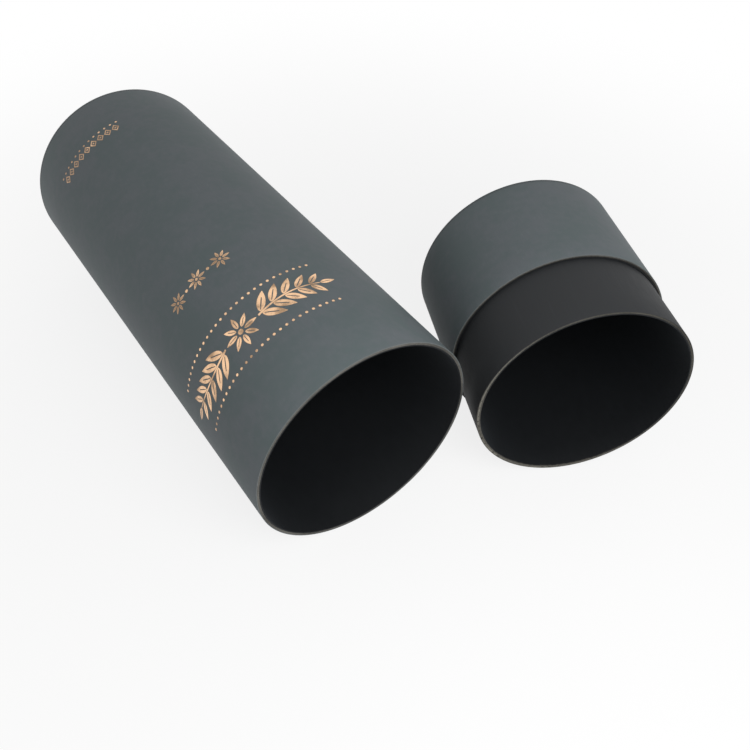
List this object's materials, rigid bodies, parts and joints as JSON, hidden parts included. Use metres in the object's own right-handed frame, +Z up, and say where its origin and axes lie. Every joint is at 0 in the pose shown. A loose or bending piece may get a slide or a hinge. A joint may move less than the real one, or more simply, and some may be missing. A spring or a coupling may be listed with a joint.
{
  "type": "cardboard tube",
  "caption": "Round rigid paper tube with its lid off: grey paper over wound board, black lining, and a black neck in the lid that plugs into the body's mouth by a slip fit.",
  "frame": {"origin": "on the ground, under the middle of the box around the body and the lid as they lie", "axes": "+Z up from the ground, the body's axis along Y with its mouth towards -Y, the lid beside it on the +X side"},
  "size_m": [0.1914, 0.2426, 0.085],
  "materials": {
    "grey_paper": "matte uncoated slate-grey wrap paper",
    "black_paper": "matte black paper and lining card",
    "raw_board": "raw cut board",
    "end_disc": "board faced with slate-grey paper",
    "copper_foil": "hot-stamped copper foil ornament on the body's paper"
  },
  "bodies": {
    "root": {"body_wrap": "grey_paper", "body_board": "raw_board", "body_lining": "black_paper", "body_base": "end_disc", "lid_wrap": "grey_paper", "lid_board": "raw_board", "lid_lining": "black_paper", "lid_top": "end_disc", "neck_wrap": "black_paper", "neck_board": "raw_board", "neck_lining": "black_paper"}
  },
  "joints": []
}
